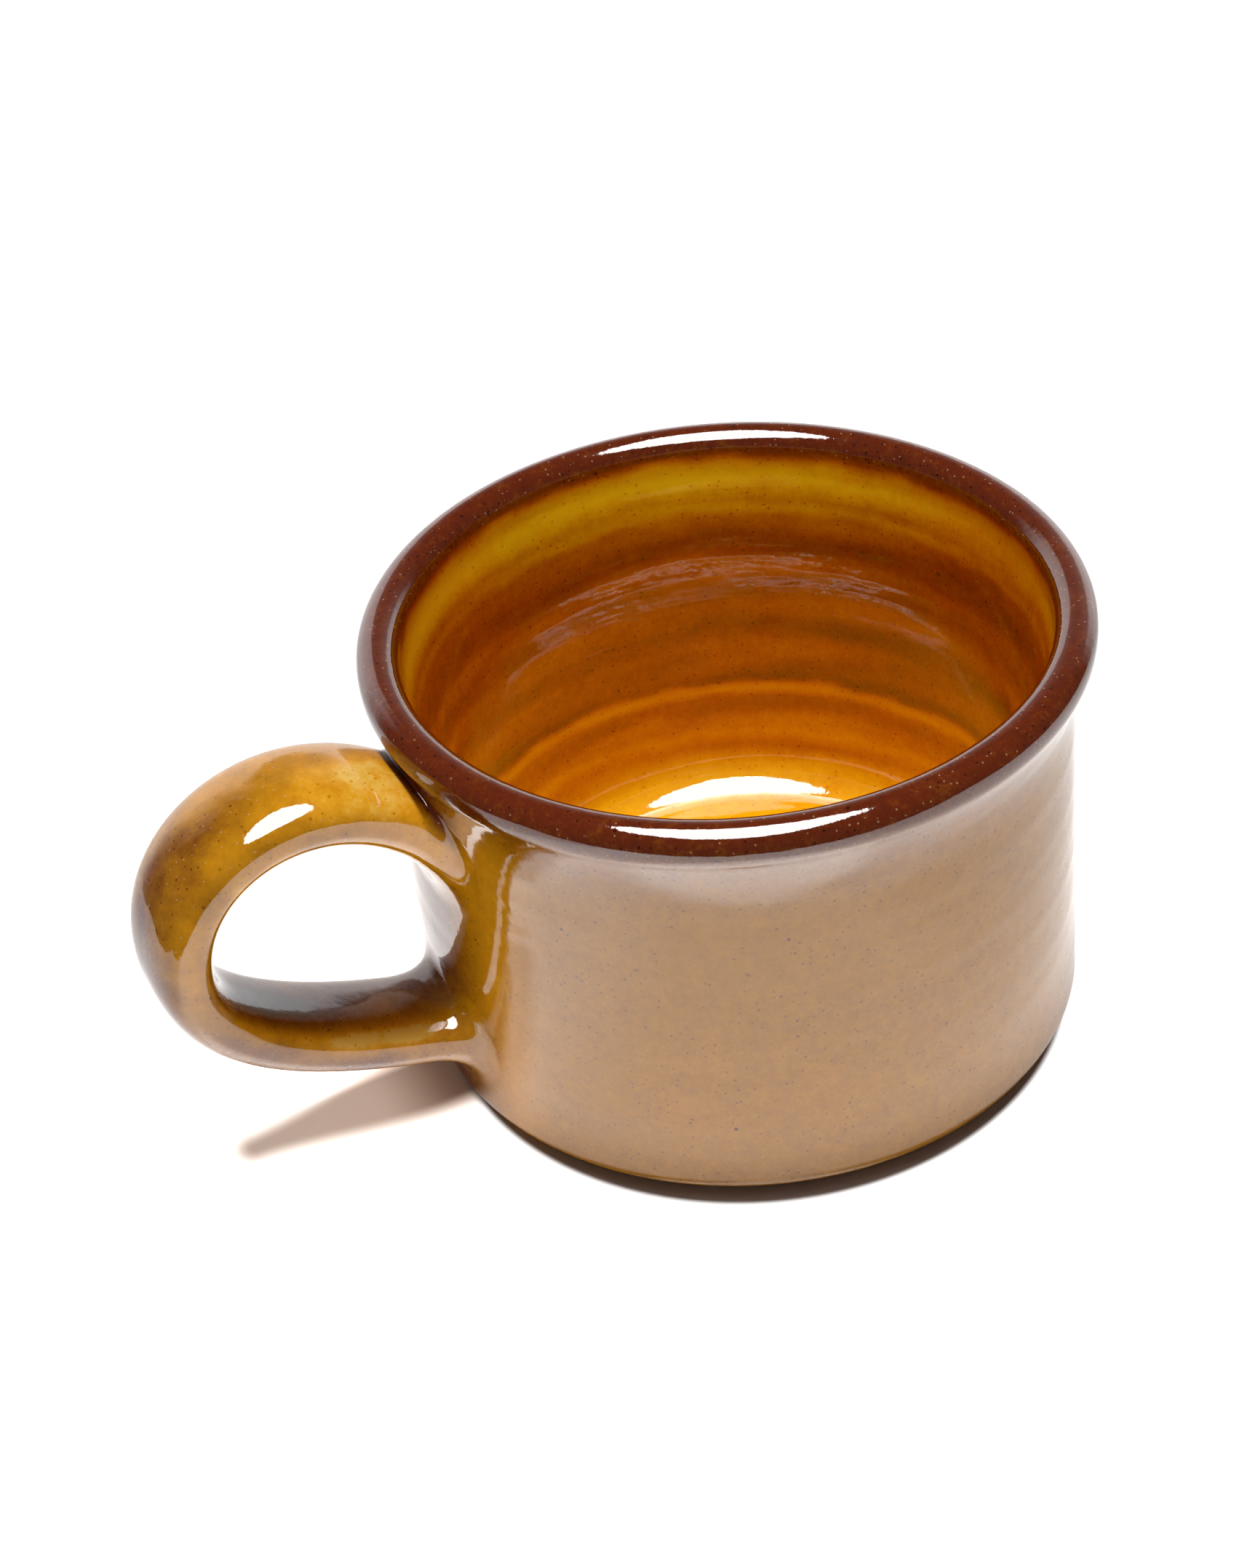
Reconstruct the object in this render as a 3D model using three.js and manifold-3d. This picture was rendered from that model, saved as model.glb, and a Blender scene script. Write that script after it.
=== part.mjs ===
// A hand-thrown stoneware coffee mug with a pulled loop handle, in millimetres.
// The origin is the centre of the flat base, +Z is up, and the handle points along -X.
import * as THREE from 'three';
import { mergeVertices } from 'three/addons/utils/BufferGeometryUtils.js';
import Module from 'manifold-3d';

// Cup, measured on the finished, glazed surface.
const HEIGHT = 64.5;
const WALL_OUTER_RADIUS = 46.9;
const WALL_THICKNESS_MOUTH = 4.2;
const WALL_THICKNESS_FOOT = 7.6;
const FLOOR_THICKNESS = 4.2;
const FLOOR_COVE_RADIUS = 8;
const FOOT_ROUND = 1.5;

// Rolled lip: the roll stands out from the wall, over a concave flare, and eases into the inner wall.
// Between its crown and its underside the roll has an upright face.
const RIM_ROLL_RADIUS = 2.85;
const RIM_FACE_HEIGHT = 0.8;
const RIM_OVERHANG = 3.1;
const FLARE_RADIUS = 18;
const MOUTH_DEPTH = 10;

// Handle: the centre line of the strap, from the upper root round to the lower root.
const HANDLE_UPPER_DROP = 16.1;
const HANDLE_LOWER_HEIGHT = 13;
const HANDLE_REACH = 36.5;
const HANDLE_BULGE_DROP = 25;
const UPPER_LEAVE_ANGLE = THREE.MathUtils.degToRad(49);
const LOWER_LEAVE_ANGLE = THREE.MathUtils.degToRad(14.5);

// How far each end of the centre line runs straight on, as a share of the loop that it bends round.
const UPPER_LEAVE_FULLNESS = 0.635;
const LOWER_LEAVE_FULLNESS = 0.395;
const UPPER_BEND_FULLNESS = 0.49;
const LOWER_BEND_FULLNESS = 0.44;

// Handle strap: its thickness and width at the upper root, the middle and the lower root.
// Its section is an oval with squared shoulders: squareness 2 is a plain ellipse.
const STRAP_THICKNESS_UPPER = 9.7;
const STRAP_THICKNESS_MIDDLE = 8.3;
const STRAP_THICKNESS_LOWER = 7.6;
const STRAP_WIDTH_UPPER = 18.2;
const STRAP_WIDTH_MIDDLE = 17;
const STRAP_WIDTH_LOWER = 15.8;
const STRAP_SQUARENESS = 2.8;

// Luted joints: a pad of slip under each end of the strap, and a coil worked into the corner round it.
const SLIP_THICKNESS = 0.8;
const UPPER_COIL_ABOVE = 1.8;
const UPPER_COIL_BELOW = 3.4;
const LOWER_COIL_ABOVE = 4;
const LOWER_COIL_BELOW = 5;
const COIL_REACH = 8;

// Glaze coats, and the bare clay left above the base.
const GLAZE_THICKNESS = 0.5;
const BARE_FOOT_HEIGHT = 2.2;

// A coat lies this far from the clay that it covers, and pieces that end at each other keep the seam.
const BOND_GAP = 0.05;
const SEAM_GAP = 0.3;

// Facets: round the axis, round and along the strap, and on each rounded stretch of the outline.
const AXIS_FACETS = 48;
const STRAP_FACETS = 20;
const STRAP_STATIONS = 28;
const COIL_STATIONS = 12;
const ROLL_FACETS = 3;
const CURVE_FACETS = 5;
const FOOT_FACETS = 3;

// Fired colours.
const CLAY_BROWN = 0x8a5a3a;
const SLIP_BROWN = 0x75492c;
const HONEY_GLAZE = 0xb4823c;
const LINER_AMBER = 0xb46a14;
const RIM_BROWN = 0x5a2410;

const wasm = await Module();
wasm.setup();

// Clay lies under the finished surface by one coat and the bond.
const CLAY_DEPTH = GLAZE_THICKNESS + BOND_GAP;
const mouthRadius = WALL_OUTER_RADIUS - WALL_THICKNESS_MOUTH;
const footRadius = WALL_OUTER_RADIUS - WALL_THICKNESS_FOOT;
const rollCentreRadius = WALL_OUTER_RADIUS + RIM_OVERHANG - RIM_ROLL_RADIUS;
const rollCentreHeight = HEIGHT - RIM_ROLL_RADIUS;
const rimRadius = WALL_OUTER_RADIUS + RIM_OVERHANG;

// Solids

// A closed three.js geometry becomes a solid once its shared corners are merged.
function toSolid(geometry) {
  const bare = geometry.clone();
  bare.deleteAttribute('normal');
  bare.deleteAttribute('uv');
  const merged = mergeVertices(bare);
  const corners = merged.index.array;
  const triangles = [];
  for (let i = 0; i < corners.length; i += 3) {
    const [a, b, c] = [corners[i], corners[i + 1], corners[i + 2]];
    if (a !== b && b !== c && c !== a) triangles.push(a, b, c);
  }
  return new wasm.Manifold(new wasm.Mesh({
    numProp: 3,
    vertProperties: new Float32Array(merged.attributes.position.array),
    triVerts: new Uint32Array(triangles),
  }));
}

function toMesh(name, solid, color, roughness) {
  const { vertProperties, triVerts } = solid.getMesh();
  const geometry = new THREE.BufferGeometry();
  geometry.setAttribute('position', new THREE.BufferAttribute(vertProperties, 3));
  geometry.setIndex(new THREE.BufferAttribute(triVerts, 1));
  geometry.computeVertexNormals();
  const material = new THREE.MeshStandardMaterial({ color, roughness, metalness: 0 });
  const mesh = new THREE.Mesh(geometry, material);
  mesh.name = name;
  return mesh;
}

// An outline of radius and height turned round the Z axis.
function turned(outline) {
  const geometry = new THREE.LatheGeometry(outline, AXIS_FACETS);
  geometry.rotateX(Math.PI / 2);
  return toSolid(geometry);
}

// Outline of the finished cup

// A point of the finished outline, with the direction in which it faces the air.
const at = (r, z, nr, nz) => ({ r, z, nr, nz });
const flat = (r, z) => new THREE.Vector2(r, z);

// The outline sunk below the finished surface by one depth.
function sunk(line, depth) {
  return line.map((p) => flat(p.r - p.nr * depth, p.z - p.nz * depth));
}

// An arc of the outline; facing is 1 where it bulges into the air and -1 where it is hollow.
function arc(centre, radius, from, to, facets, facing) {
  const line = [];
  for (let i = 0; i <= facets; i += 1) {
    const angle = THREE.MathUtils.lerp(from, to, i / facets);
    const [c, s] = [Math.cos(angle), Math.sin(angle)];
    line.push(at(centre.x + radius * c, centre.y + radius * s, facing * c, facing * s));
  }
  return line;
}

// The flare is an arc that leaves the wall upright and meets the roll's underside in one tangent.
const crownCentre = flat(rollCentreRadius, rollCentreHeight);
const undersideCentre = flat(rollCentreRadius, rollCentreHeight - RIM_FACE_HEIGHT);
const flareAcross = WALL_OUTER_RADIUS + FLARE_RADIUS - rollCentreRadius;
const flareRise = Math.sqrt((FLARE_RADIUS + RIM_ROLL_RADIUS) ** 2 - flareAcross ** 2);
const flareCentre = flat(WALL_OUTER_RADIUS + FLARE_RADIUS, undersideCentre.y - flareRise);
const flareEnd = Math.atan2(flareRise, -flareAcross);
const rollStart = flareEnd - Math.PI;

function flareLine(shortenedBy) {
  const end = flareEnd + shortenedBy / FLARE_RADIUS;
  return arc(flareCentre, FLARE_RADIUS, Math.PI, end, CURVE_FACETS, -1);
}

function rollArc(centre, from, to) {
  return arc(centre, RIM_ROLL_RADIUS, from, to, ROLL_FACETS, 1);
}

const rollUnderside = rollArc(undersideCentre, rollStart, 0);
const rollCrown = rollArc(crownCentre, 0, Math.PI / 2);
const rollInside = rollArc(crownCentre, Math.PI / 2, Math.PI).slice(1);
const rollLine = [...rollUnderside, ...rollCrown, ...rollInside];

// The inner wall leans in towards the foot and meets the cove round the floor in one tangent.
const wallTop = flat(mouthRadius, rollCentreHeight - MOUTH_DEPTH);
const coveCentre = flat(footRadius - FLOOR_COVE_RADIUS, FLOOR_THICKNESS + FLOOR_COVE_RADIUS);
const fromCove = wallTop.clone().sub(coveCentre);
const wallLean = fromCove.angle() - Math.acos(FLOOR_COVE_RADIUS / fromCove.length());

// The mouth eases from the inner side of the roll down to the inner wall.
function mouthLine() {
  const top = rollCentreHeight - SEAM_GAP;
  const half = (top + wallTop.y) / 2;
  const lipRadius = rollCentreRadius - RIM_ROLL_RADIUS;
  const wallAbove = flat(mouthRadius - (half - wallTop.y) * Math.tan(wallLean), half);
  const curve = new THREE.CubicBezierCurve(flat(lipRadius, top), flat(lipRadius, half), wallAbove, wallTop);
  const line = [];
  for (let i = 0; i <= CURVE_FACETS; i += 1) {
    const point = curve.getPoint(i / CURVE_FACETS);
    const along = curve.getTangent(i / CURVE_FACETS);
    line.push(at(point.x, point.y, along.y, -along.x));
  }
  return line;
}

const coveLine = arc(coveCentre, FLOOR_COVE_RADIUS, wallLean, -Math.PI / 2, CURVE_FACETS, -1);
const insideLine = [...mouthLine(), ...coveLine, at(0, FLOOR_THICKNESS, 0, 1)];

// A closed coat between the finished outline and one glaze thickness below it.
function coat(line) {
  const outer = sunk(line, 0);
  const inner = sunk(line, GLAZE_THICKNESS).reverse();
  const outline = [...outer, ...inner];
  if (line.at(-1).r > 0) outline.push(outer[0].clone());
  else outline.push(...outline.splice(0, outer.length));
  return turned(outline);
}

// Cup

function thrownCup() {
  const footCentre = flat(WALL_OUTER_RADIUS - CLAY_DEPTH - FOOT_ROUND, FOOT_ROUND);
  const footLine = arc(footCentre, FOOT_ROUND, -Math.PI / 2, 0, FOOT_FACETS, 1);
  return turned([
    flat(0, 0),
    ...sunk(footLine, 0),
    ...sunk(flareLine(0), CLAY_DEPTH),
    ...sunk(rollLine.slice(1), CLAY_DEPTH),
    ...sunk(insideLine, CLAY_DEPTH),
  ]);
}

// Everything inside the outside of the cup, sunk by one depth, from below the base to above the rim.
function cupCutter(depth) {
  const below = -HEIGHT;
  return turned([
    flat(0, below),
    flat(WALL_OUTER_RADIUS - depth, below),
    ...sunk(flareLine(0), depth),
    ...sunk([...rollUnderside.slice(1), ...rollCrown], depth),
    flat(0, 2 * HEIGHT),
  ]);
}

// Handle

const upperRoot = flat(WALL_OUTER_RADIUS, HEIGHT - HANDLE_UPPER_DROP);
const lowerRoot = flat(WALL_OUTER_RADIUS, HANDLE_LOWER_HEIGHT);
const bulge = flat(WALL_OUTER_RADIUS + HANDLE_REACH, HEIGHT - HANDLE_BULGE_DROP);
const loopHeight = upperRoot.y - lowerRoot.y;

function leave(root, angle, length) {
  return flat(root.x + length * Math.cos(angle), root.y + length * Math.sin(angle));
}

// What meets at each root: the strap, and the coil on the outside and on the inside of the loop.
const upperJoint = {
  angle: UPPER_LEAVE_ANGLE,
  thickness: STRAP_THICKNESS_UPPER,
  outside: UPPER_COIL_ABOVE,
  inside: UPPER_COIL_BELOW,
};
const lowerJoint = {
  angle: LOWER_LEAVE_ANGLE,
  thickness: STRAP_THICKNESS_LOWER,
  outside: LOWER_COIL_BELOW,
  inside: LOWER_COIL_ABOVE,
};

// Inside the wall each end runs on straight, far enough for the widest section to be buried.
function rootRun(joint) {
  const coil = Math.max(joint.outside, joint.inside);
  return (joint.thickness / 2 + coil) * Math.tan(joint.angle) + coil + WALL_THICKNESS_MOUTH;
}

const upperRun = rootRun(upperJoint);
const lowerRun = rootRun(lowerJoint);

const upperBend = new THREE.CubicBezierCurve(
  upperRoot,
  leave(upperRoot, UPPER_LEAVE_ANGLE, UPPER_LEAVE_FULLNESS * HANDLE_REACH),
  flat(bulge.x, bulge.y + UPPER_BEND_FULLNESS * loopHeight),
  bulge);
const lowerBend = new THREE.CubicBezierCurve(
  bulge,
  flat(bulge.x, bulge.y - LOWER_BEND_FULLNESS * loopHeight),
  leave(lowerRoot, LOWER_LEAVE_ANGLE, LOWER_LEAVE_FULLNESS * HANDLE_REACH),
  lowerRoot);
const centreLine = new THREE.CurvePath();
centreLine.add(new THREE.LineCurve(leave(upperRoot, UPPER_LEAVE_ANGLE, -upperRun), upperRoot));
centreLine.add(upperBend);
centreLine.add(lowerBend);
centreLine.add(new THREE.LineCurve(lowerRoot, leave(lowerRoot, LOWER_LEAVE_ANGLE, -lowerRun)));
const strapLength = upperBend.getLength() + lowerBend.getLength();

// A size that eases through its upper, middle and lower value along the strap.
function eased(upper, middle, lower, share) {
  const t = THREE.MathUtils.clamp(share, 0, 1);
  return upper * (1 - t) * (1 - 2 * t) + middle * 4 * t * (1 - t) + lower * t * (2 * t - 1);
}

// The section of the strap at an angle, on a half thickness and half width of 1.
function shoulder(angle) {
  const [across, up] = [Math.cos(angle), Math.sin(angle)];
  const round = Math.abs(across) ** STRAP_SQUARENESS + Math.abs(up) ** STRAP_SQUARENESS;
  const reach = round ** (-1 / STRAP_SQUARENESS);
  return flat(across * reach, up * reach);
}

// A closed length of strap, between two distances along the centre line from the upper root.
// grow says how far the skin stands out from the finished strap, at a distance from the wall and
// on a side of the loop: 1 is the outside and -1 the inside.
function strap(from, to, stations, grow) {
  const positions = [];
  const faces = [];
  const whole = upperRun + strapLength + lowerRun;
  for (let i = 0; i <= stations; i += 1) {
    const distance = THREE.MathUtils.lerp(from, to, i / stations);
    const t = THREE.MathUtils.clamp((distance + upperRun) / whole, 0, 1);
    const centre = centreLine.getPoint(t);
    const along = centreLine.getTangent(t);
    const share = distance / strapLength;
    const thick = eased(STRAP_THICKNESS_UPPER, STRAP_THICKNESS_MIDDLE, STRAP_THICKNESS_LOWER, share);
    const wide = eased(STRAP_WIDTH_UPPER, STRAP_WIDTH_MIDDLE, STRAP_WIDTH_LOWER, share);
    for (let j = 0; j < STRAP_FACETS; j += 1) {
      const section = shoulder(2 * Math.PI * j / STRAP_FACETS);
      const outward = centre.x - along.y * thick / 2 * section.y;
      const offWall = Math.hypot(outward, wide / 2 * section.x) - WALL_OUTER_RADIUS;
      const swell = grow(offWall, section.y);
      const rise = (thick / 2 + swell) * section.y;
      const aside = (wide / 2 + swell) * section.x;
      positions.push(-(centre.x - along.y * rise), aside, centre.y + along.x * rise);
    }
  }
  const ring = (i, j) => i * STRAP_FACETS + (j % STRAP_FACETS);
  for (let j = 0; j < STRAP_FACETS; j += 1) {
    for (let i = 0; i < stations; i += 1) {
      faces.push(ring(i, j), ring(i + 1, j), ring(i + 1, j + 1));
      faces.push(ring(i, j), ring(i + 1, j + 1), ring(i, j + 1));
    }
    if (j > 1) {
      faces.push(ring(0, 0), ring(0, j - 1), ring(0, j));
      faces.push(ring(stations, 0), ring(stations, j), ring(stations, j - 1));
    }
  }
  const geometry = new THREE.BufferGeometry();
  geometry.setAttribute('position', new THREE.Float32BufferAttribute(positions, 3));
  geometry.setIndex(faces);
  return toSolid(geometry);
}

const claySkin = () => -CLAY_DEPTH;
const clayStrap = strap(-upperRun, strapLength + lowerRun, STRAP_STATIONS, claySkin);
const clearStrap = strap(-upperRun, strapLength + lowerRun, STRAP_STATIONS, () => SEAM_GAP - CLAY_DEPTH);

function pulledHandle() {
  return clayStrap.subtract(cupCutter(CLAY_DEPTH - SLIP_THICKNESS - 2 * SEAM_GAP));
}

// Half of space on one side of the middle of the loop, to part the two ends of the strap.
function rootSpace(upper) {
  const middle = (upperRoot.y + lowerRoot.y) / 2;
  const span = 2 * (rimRadius + HANDLE_REACH + STRAP_WIDTH_UPPER);
  const box = new THREE.BoxGeometry(2 * span, 2 * span, HEIGHT * 2);
  box.translate(0, 0, upper ? middle + HEIGHT : middle - HEIGHT);
  return toSolid(box);
}

function slipJoint(upper) {
  const pad = clayStrap.intersect(cupCutter(CLAY_DEPTH - SLIP_THICKNESS - SEAM_GAP));
  return pad.subtract(cupCutter(CLAY_DEPTH - SEAM_GAP)).intersect(rootSpace(upper));
}

// A post round the axis of the cup, to end the coils and the coat of the strap off the wall.
function post(offWall) {
  const radius = WALL_OUTER_RADIUS + offWall;
  const outline = [flat(0, -HEIGHT), flat(radius, -HEIGHT), flat(radius, 2 * HEIGHT), flat(0, 2 * HEIGHT)];
  return turned(outline);
}

// The coil swells the strap towards the wall and dies out at its reach.
function coilStrap(upper, clearance) {
  const joint = upper ? upperJoint : lowerJoint;
  const swell = (offWall, side) => {
    const share = THREE.MathUtils.clamp(offWall / COIL_REACH, 0, 1);
    const size = THREE.MathUtils.lerp(joint.inside, joint.outside, (1 + side) / 2);
    return size * (1 - share) ** 2 + clearance;
  };
  const widest = Math.max(joint.outside, joint.inside);
  const span = (COIL_REACH + widest + joint.thickness / 2) / Math.cos(joint.angle);
  return upper
    ? strap(-upperRun, span, COIL_STATIONS, swell)
    : strap(strapLength - span, strapLength + lowerRun, COIL_STATIONS, swell);
}

function jointCoil(upper) {
  const ring = coilStrap(upper, 0).subtract(clearStrap).subtract(cupCutter(CLAY_DEPTH - SEAM_GAP));
  return ring.intersect(post(COIL_REACH));
}

// Glaze coats

const coilHoles = coilStrap(true, SEAM_GAP).add(coilStrap(false, SEAM_GAP));

function wallGlaze() {
  const line = [at(WALL_OUTER_RADIUS, BARE_FOOT_HEIGHT, 1, 0), ...flareLine(SEAM_GAP)];
  return coat(line).subtract(coilHoles);
}

function rimGlaze() {
  return coat(rollLine).subtract(coilHoles);
}

function handleGlaze() {
  const sleeve = strap(0, strapLength, STRAP_STATIONS, () => 0);
  const core = strap(-upperRun, strapLength + lowerRun, STRAP_STATIONS, () => -GLAZE_THICKNESS);
  return sleeve.subtract(core).subtract(post(COIL_REACH + SEAM_GAP));
}

const BARE_ROUGHNESS = 0.8;
const GLAZE_ROUGHNESS = 0.12;

const mug = new THREE.Group();
mug.add(
  toMesh('thrown_cup', thrownCup(), CLAY_BROWN, BARE_ROUGHNESS),
  toMesh('pulled_handle', pulledHandle(), CLAY_BROWN, BARE_ROUGHNESS),
  toMesh('upper_slip_joint', slipJoint(true), SLIP_BROWN, BARE_ROUGHNESS),
  toMesh('lower_slip_joint', slipJoint(false), SLIP_BROWN, BARE_ROUGHNESS),
  toMesh('upper_joint_coil', jointCoil(true), HONEY_GLAZE, GLAZE_ROUGHNESS),
  toMesh('lower_joint_coil', jointCoil(false), HONEY_GLAZE, GLAZE_ROUGHNESS),
  toMesh('liner_glaze', coat(insideLine), LINER_AMBER, GLAZE_ROUGHNESS),
  toMesh('rim_glaze', rimGlaze(), RIM_BROWN, GLAZE_ROUGHNESS),
  toMesh('wall_glaze', wallGlaze(), HONEY_GLAZE, GLAZE_ROUGHNESS),
  toMesh('handle_glaze', handleGlaze(), HONEY_GLAZE, GLAZE_ROUGHNESS),
);

export default mug;
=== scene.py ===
"""The looks of a hand-thrown coffee mug: its glaze coats, clay, light and camera, in metres."""

import math

import bpy
import numpy as np
from mathutils import Matrix, Vector


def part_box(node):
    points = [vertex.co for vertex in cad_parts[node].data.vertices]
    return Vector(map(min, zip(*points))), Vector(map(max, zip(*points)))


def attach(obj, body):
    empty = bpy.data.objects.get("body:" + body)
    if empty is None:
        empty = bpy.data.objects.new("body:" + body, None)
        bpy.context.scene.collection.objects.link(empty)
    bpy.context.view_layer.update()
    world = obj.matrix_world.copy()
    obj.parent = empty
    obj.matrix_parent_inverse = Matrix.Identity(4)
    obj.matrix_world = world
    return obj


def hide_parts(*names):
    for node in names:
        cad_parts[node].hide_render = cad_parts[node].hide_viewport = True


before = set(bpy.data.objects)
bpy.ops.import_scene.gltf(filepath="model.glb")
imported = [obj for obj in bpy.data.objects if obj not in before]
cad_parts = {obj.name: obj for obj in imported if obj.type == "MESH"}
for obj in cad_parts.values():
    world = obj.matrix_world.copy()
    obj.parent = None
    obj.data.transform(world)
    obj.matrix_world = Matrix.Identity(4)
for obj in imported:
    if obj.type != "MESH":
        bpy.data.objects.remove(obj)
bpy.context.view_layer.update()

# Sizes that the frame gives.
rim_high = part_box("rim_glaze")[1]
HEIGHT = rim_high.z
RIM_RADIUS = rim_high.x

# Cup, on the finished surface.
WALL_RADIUS = 0.0469
WALL_THICKNESS_MOUTH = 0.0042
WALL_THICKNESS_FOOT = 0.0072
FLOOR_THICKNESS = 0.0042
FLOOR_COVE_RADIUS = 0.0065
FOOT_ROUND = 0.0019
FOOT_ROUND_START = math.radians(-70)
FOOT_LIFT = 0.00035
RIM_ROLL_RADIUS = 0.00285
RIM_FACE_HEIGHT = 0.0008
FLARE_RADIUS = 0.027
MOUTH_DEPTH = 0.010
GLAZE_THICKNESS = 0.0005
BOND_GAP = 0.00005

# The lip dips a little on one side, as the wheel left it.
LIP_DIP = 0.0010
LIP_DIP_START = 0.025
LIP_DIP_AZIMUTH = math.radians(-22.5)

# Bare clay: the rounded foot under the glaze, and the arcs that the cutting wire left on the base.
BASE_INSET = 0.0034
FOOT_EDGE_RADIUS = 0.0022
FOOT_EDGE_END_ANGLE = -0.3
WIRE_CENTRE = (0.03, -0.075)
WIRE_PITCH = 0.0033
WIRE_DEPTH = 0.00018
WIRE_FADE = 0.003
WIRE_WANDER = 0.012

# Handle: its centre line, and the strap at the upper root, the middle and the lower root.
HANDLE_UPPER_DROP = 0.0161
HANDLE_LOWER_HEIGHT = 0.013
HANDLE_REACH = 0.03648
HANDLE_BULGE_DROP = 0.025
UPPER_LEAVE_ANGLE = math.radians(49)
LOWER_LEAVE_ANGLE = math.radians(14.5)
UPPER_LEAVE_FULLNESS = 0.635
LOWER_LEAVE_FULLNESS = 0.395
UPPER_BEND_FULLNESS = 0.49
LOWER_BEND_FULLNESS = 0.44
ROOT_RUN = 0.022
STRAP_THICKNESS = (0.0097, 0.0083, 0.0076)
STRAP_WIDTH = (0.0182, 0.0170, 0.0158)
STRAP_SQUARENESS = 2.8
STRAP_CORE_DEPTH = 0.003

# Fillets: how far each reaches along the handle and along the wall, inside, beside and outside the loop.
UPPER_FILLET = {"handle": (0.009, 0.0055, 0.0016), "wall": (0.0055, 0.0045, 0.0013)}
LOWER_FILLET = {"handle": (0.008, 0.007, 0.0075), "wall": (0.005, 0.005, 0.0055)}

# Steps of the finished meshes, and of the curves that they follow.
ROW_STEP = 0.0007
COLUMNS = 288
BACKING_STRIDE = 6
CLAY_ROW_STEP = 0.003
CLAY_SKIPPED_ROWS = 2
BASE_ROWS = 60
FOOT_EDGE_ROWS = 8
STRAP_COLUMNS = 72
STRAP_ROWS = 120
SLEEVE_ROWS = 30
FILLET_ROWS = 10
ARC_POINTS = 60
LOOP_POINTS = 400
RUN_POINTS = 200
SEARCH_POINTS = 1500

# Steps for slopes, and the sizes below which a normal or a ring counts as nothing.
ANGLE_STEP = 1e-3
LENGTH_STEP = 1e-5
TINY_NORMAL = 1e-14
TINY_RING = 1e-7

# Throwing rings inside the cup: the height, half width and depth of each finger groove.
GROOVES = (
    (0.0545, 0.0016, 0.00005),
    (0.0497, 0.0013, 0.00003),
    (0.0468, 0.0010, 0.00002),
    (0.0437, 0.0012, 0.00003),
    (0.0405, 0.0016, 0.00004),
    (0.0357, 0.0016, 0.00006),
    (0.0320, 0.0014, 0.00005),
    (0.0290, 0.0018, 0.00007),
    (0.0243, 0.0011, 0.00010),
    (0.0185, 0.0020, 0.00016),
    (0.0118, 0.0014, 0.00010),
)
GROOVE_WANDER = 0.0009
GROOVE_TILT = 0.0008
GROOVE_UNEVENNESS = 0.2
GROOVES_LIP_FADE = 0.004
GROOVES_FLOOR_FADE = 0.003
LINER_RIPPLE = 0.000006

# Turning marks outside: two trains of waves that waver round the cup.
MARK_DEPTH = 0.00003
MARK_PITCH = 0.0061
MARK_WAVER = 0.0006
MARK_WAVES = 2
FINE_MARK_SHARE = 0.6
FINE_MARK_PITCH = 0.0037
FINE_MARK_WAVER = 0.0004
FINE_MARK_WAVES = 5
MARK_PHASE = 1.0
MARKS_START = 0.003
MARKS_FOOT_FADE = 0.004
MARKS_LIP_FADE = 0.006

# Uneven fields, each a sum of waves: its seed, its most waves round the cup, and its pitch along.
RIPPLE_WAVES = 7
RIPPLE_SPREAD = (0.4, 1.6)
MARK_FIELD = (3, 6, 0.012)
WANDER_FIELD = (5, 4, 0.04)
GROOVE_FIELD = (8, 5, 0.004)
LINER_FIELD = (12, 20, 0.006)
RAGGED_FIELD = (17, 45, 0.01)
STREAK_FIELD = (21, 9, 0.008)
HANDLE_FIELD = (31, 6, 0.4)
WIRE_FIELD = (9, 2, 0.04)

# How thick the liner glaze lies by height: golden where it pooled, brown where it ran thin.
LINER_DEPTHS = (
    (0.0040, 0.96), (0.0090, 0.94), (0.0105, 0.82), (0.0118, 0.72), (0.0140, 0.92), (0.0155, 0.72),
    (0.0170, 0.66), (0.0188, 0.53), (0.0205, 0.60), (0.0216, 0.95), (0.0226, 0.84), (0.0233, 0.50),
    (0.0241, 0.38), (0.0255, 0.50), (0.0280, 0.58), (0.0300, 0.64), (0.0318, 0.48), (0.0335, 0.44),
    (0.0350, 0.58), (0.0370, 0.68), (0.0388, 0.54), (0.0405, 0.49), (0.0420, 0.60), (0.0440, 0.62),
    (0.0455, 0.46), (0.0470, 0.42), (0.0485, 0.48), (0.0500, 0.60), (0.0515, 0.64), (0.0530, 0.86),
    (0.0545, 0.72), (0.0560, 0.84), (0.0580, 1.00), (0.0600, 0.92), (0.0609, 0.66), (0.0616, 0.36),
    (0.0645, 0.28),
)
LINER_STREAKS = 0.05
LINER_RAGGED = 0.0003
LINER_RING_SHARE = 0.6
LINER_THIN_SIDE = 0.12
LINER_THIN_AZIMUTH = math.radians(-22.5)
LINER_THIN_START = 0.016
LINER_THIN_RISE = 0.012

# The same for the outer wall, which thins towards the lip, and for the lip itself, along its section.
# Between the handle's roots the wall is darkened as painted shade behind the loop, and beside them the glaze
# gathered, over angles in radians.
WALL_DEPTHS = ((0.0, 0.58), (0.030, 0.60), (0.0480, 0.62), (0.0550, 0.45), (0.0605, 0.34))
LIP_DEPTHS = ((0.0, 0.38), (0.12, 0.24), (0.3, 0.19), (0.85, 0.18), (1.0, 0.28))
LOOP_SHADE = 0.36
LOOP_HALF_WIDTH = 0.17
STRIP_GATHER = 0.24
STRIP_PLACE = 0.33
STRIP_HALF_WIDTH = 0.12

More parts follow.
